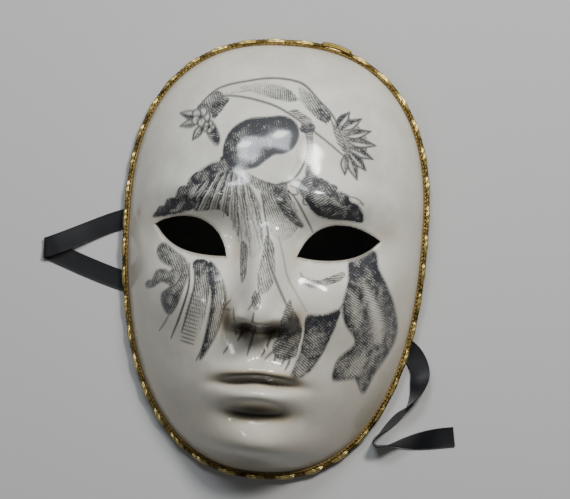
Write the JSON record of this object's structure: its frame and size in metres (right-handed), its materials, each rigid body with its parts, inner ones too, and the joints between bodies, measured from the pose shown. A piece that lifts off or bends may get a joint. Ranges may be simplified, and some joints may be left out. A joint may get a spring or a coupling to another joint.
{
  "type": "venetian masquerade mask",
  "caption": "Full-face papier-mache mask with two eye openings, a gold gimp braid round the rim and two black satin tie ribbons.",
  "frame": {"origin": "middle of the box round the mask without its ribbons, at the level that the rim rests on", "axes": "+Z out of the face, +Y towards the forehead, +X to the right of someone who looks at the face"},
  "size_m": [0.2202, 0.2289, 0.0795],
  "materials": {
    "varnished_paper": "gloss varnish over painted papier-mache",
    "braid_foot": "woven metallic yarn",
    "gold_gimp": "metallic gold thread wound on a core",
    "black_satin": "satin",
    "patch_paper": "matt"
  },
  "bodies": {
    "root": {"mask_shell": "varnished_paper", "braid_tape": "braid_foot", "braid_picot": "gold_gimp", "braid_pads": "gold_gimp", "braid_lap": "gold_gimp", "ribbon_left": "black_satin", "ribbon_right": "black_satin", "ribbon_patch_left": "patch_paper", "ribbon_patch_right": "patch_paper"}
  },
  "joints": []
}
